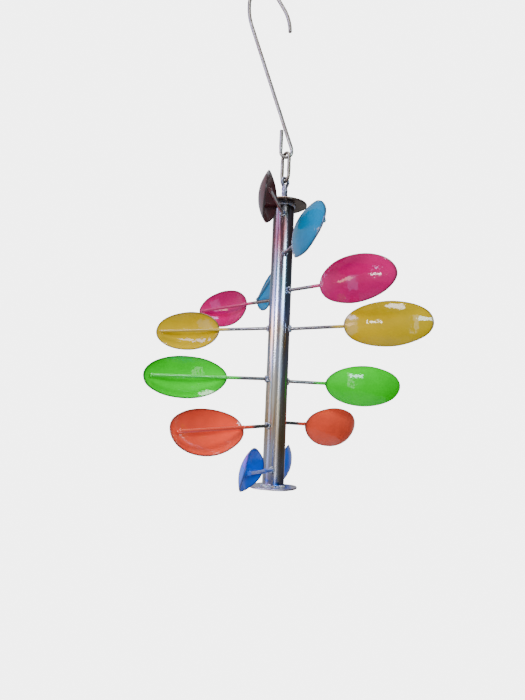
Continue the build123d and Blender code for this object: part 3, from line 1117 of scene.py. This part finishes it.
class SPINNER_OT_bearing(bpy.types.Operator):
    """Bush, thrust bearing, washer and nut inside the tube"""

    bl_idname = "spinner.bearing"
    bl_label = "Bearing"

    def execute(self, context):
        for name, finish in (
            ("pivot_bush", "oiled_bronze"),
            ("ball_cage", "oiled_bronze"),
            ("upper_race", "bearing_steel"),
            ("lower_race", "bearing_steel"),
            ("bearing_balls", "bearing_steel"),
            ("thrust_washer", "plated_steel"),
            ("lock_nut", "plated_steel"),
        ):
            dress(name, metal(finish))
        return {"FINISHED"}


# ---- stage ---------------------------------------------------------------------------------------------------
def soft_light(name, at, aim, size, power, tint):
    """Area light that faces a point."""
    lamp = bpy.data.lights.new(name, "AREA")
    lamp.shape = "RECTANGLE"
    lamp.size, lamp.size_y = size
    lamp.energy = power
    lamp.color = tint
    made = bpy.data.objects.new(name, lamp)
    made.location = at
    made.rotation_euler = (Vector(aim) - Vector(at)).to_track_quat("-Z", "Y").to_euler()
    bpy.context.scene.collection.objects.link(made)


# name, bearing in plan and height in degrees, distance, size, power and colour
LIGHTS = (
    ("left_sky", 207, 29, 1.7, (1.4, 0.28), 22.0, (0.55, 0.55, 1.0)),
    ("left_low", 186, 8, 1.7, (0.80, 0.22), 6.0, (1.0, 0.60, 0.42)),
    ("left_glow", 196, 2, 2.0, (0.6, 1.8), 9.0, (0.34, 0.50, 1.0)),
    ("left_front", 232, 11, 1.7, (0.40, 0.18), 11.0, (1.0, 0.98, 0.96)),
    ("right_glow", 286, 2, 2.0, (0.22, 1.9), 6.0, (1.0, 0.97, 0.90)),
    ("front_sky", 298, 15, 1.7, (0.55, 0.24), 14.0, (0.66, 0.94, 1.0)),
    ("front_soft", 258, 62, 1.8, (0.6, 0.5), 24.0, (1.0, 0.98, 0.96)),
    ("above", 80, 70, 1.6, (1.0, 1.0), 12.0, (0.95, 0.97, 1.0)),
)


LIGHTS_AIM = (0.0, 0.0, -0.38)
# share of the way up, colour
DOME = (
    (0.0, (0.26, 0.24, 0.23)),
    (0.38, (0.30, 0.28, 0.27)),
    (0.46, (0.62, 0.59, 0.57)),
    (0.64, (0.52, 0.58, 0.66)),
    (0.76, (0.34, 0.35, 0.36)),
    (1.0, (0.40, 0.40, 0.40)),
)
# share of the way across, colour
FLANK = (
    (0.0, (1.0, 1.0, 1.0)),
    (0.72, (0.85, 0.85, 0.85)),
    (0.84, (0.22, 0.2, 0.2)),
    (1.0, (0.2, 0.2, 0.2)),
)


class SPINNER_OT_stage(bpy.types.Operator):
    """Pale floor, soft studio light and camera"""

    bl_idname = "spinner.stage"
    bl_label = "Stage"

    def execute(self, context):
        lay_floor(context.scene.spinner_stage)
        for name, turn, height, away, size, power, tint in LIGHTS:
            bearing, lift = math.radians(turn), math.radians(height)
            reach = away * math.cos(lift)
            at = (reach * math.cos(bearing), reach * math.sin(bearing), LIGHTS_AIM[2] + away * math.sin(lift))
            soft_light(name, at, LIGHTS_AIM, size, power, tint)
        light_sky(context.scene)
        set_camera(context.scene, context.scene.spinner_stage)
        return {"FINISHED"}


def lay_floor(stage):
    """Pale square floor below the spinner."""
    z, half = CAD_BOX[0][2] - stage.floor_drop, stage.floor_half
    corners = [(-half, -half, z), (half, -half, z), (half, half, z), (-half, half, z)]
    floor = new_object("floor", corners, [(0, 1, 2, 3)])
    pale, tree, shader = new_material("pale_floor")
    feed(tree, shader, Base_Color=(0.85, 0.85, 0.85, 1.0), Roughness=0.8)
    floor.data.materials.append(pale)


def light_sky(scene):
    """Studio dome that lights the spinner, with a plain bright backdrop where the camera looks."""
    world = bpy.data.worlds.new("studio")
    world.use_nodes = True
    scene.world = world
    tree = world.node_tree
    tree.nodes.clear()
    spot = put(tree, "ShaderNodeTexCoord").outputs["Generated"]
    axes = put(tree, "ShaderNodeSeparateXYZ", Vector=spot).outputs
    dome = ramp(tree, spread(tree, axes["Z"], -1.0, 1.0), DOME)
    flank = ramp(tree, spread(tree, axes["X"], -1.0, 1.0), FLANK)
    both = blend_colours(tree, 1.0, dome, flank, "MULTIPLY")
    light = put(tree, "ShaderNodeBackground", Color=both, Strength=0.9).outputs[0]
    backdrop = put(tree, "ShaderNodeBackground", Color=(1.0, 1.0, 1.0, 1.0), Strength=5.0).outputs[0]
    seen = put(tree, "ShaderNodeLightPath").outputs["Is Camera Ray"]
    mix = tree.nodes.new("ShaderNodeMixShader")
    for socket, value in zip(mix.inputs, (seen, light, backdrop)):
        join(tree, socket, value)
    surface = tree.nodes.new("ShaderNodeOutputWorld")
    tree.links.new(mix.outputs[0], surface.inputs[0])


def set_camera(scene, stage):
    """Camera from its place, pitch, yaw and roll."""
    eye = bpy.data.cameras.new("camera")
    eye.lens = stage.lens
    eye.sensor_width = 36.0
    eye.clip_start = 0.01
    made = bpy.data.objects.new("camera", eye)
    pitch, yaw, roll = stage.pitch, stage.yaw, stage.roll
    ahead = Vector((math.sin(yaw) * math.cos(pitch), math.cos(yaw) * math.cos(pitch), math.sin(pitch)))
    right = Vector((math.cos(yaw), -math.sin(yaw), 0.0))
    leaned = right * math.cos(roll) + right.cross(ahead) * math.sin(roll)
    turn = Matrix((leaned, leaned.cross(ahead), -ahead)).transposed().to_4x4()
    made.matrix_world = Matrix.Translation(Vector(stage.camera_at)) @ turn
    scene.collection.objects.link(made)
    scene.camera = made


# ---- panel, registration and the run -------------------------------------------------------------------------
class VIEW3D_PT_spinner(bpy.types.Panel):
    """Lists the spinner's pieces and their settings"""

    bl_label = "Wind Spinner"
    bl_space_type = "VIEW_3D"
    bl_region_type = "UI"
    bl_category = "Spinner"

    def draw(self, context):
        scene = context.scene
        for label, settings in (
            ("Paddles", scene.spinner_paddles),
            ("Paint", scene.spinner_paint),
            ("Steel", scene.spinner_steel),
            ("Stage", scene.spinner_stage),
        ):
            box = self.layout.box()
            box.label(text=label)
            for key in settings.bl_rna.properties.keys():
                if key not in {"rna_type", "name"}:
                    box.prop(settings, key)
        for operator in OPERATORS:
            self.layout.operator(operator.bl_idname)


GROUPS = {
    "spinner_paddles": SpinnerPaddles,
    "spinner_paint": SpinnerPaint,
    "spinner_steel": SpinnerSteel,
    "spinner_stage": SpinnerStage,
}
OPERATORS = (
    SPINNER_OT_stage,
    SPINNER_OT_hanger,
    SPINNER_OT_bearing,
    SPINNER_OT_tube,
    SPINNER_OT_discs,
    SPINNER_OT_arms,
    SPINNER_OT_paddles,
)
CLASSES = (*GROUPS.values(), *OPERATORS, VIEW3D_PT_spinner)


def register():
    for item in CLASSES:
        bpy.utils.register_class(item)
    for name, group in GROUPS.items():
        setattr(bpy.types.Scene, name, bpy.props.PointerProperty(type=group))


def unregister():
    for name in GROUPS:
        delattr(bpy.types.Scene, name)
    for item in reversed(CLASSES):
        bpy.utils.unregister_class(item)


def main():
    register()
    for operator in OPERATORS:
        group, name = operator.bl_idname.split(".")
        getattr(getattr(bpy.ops, group), name)()


if __name__ == "__main__":
    main()
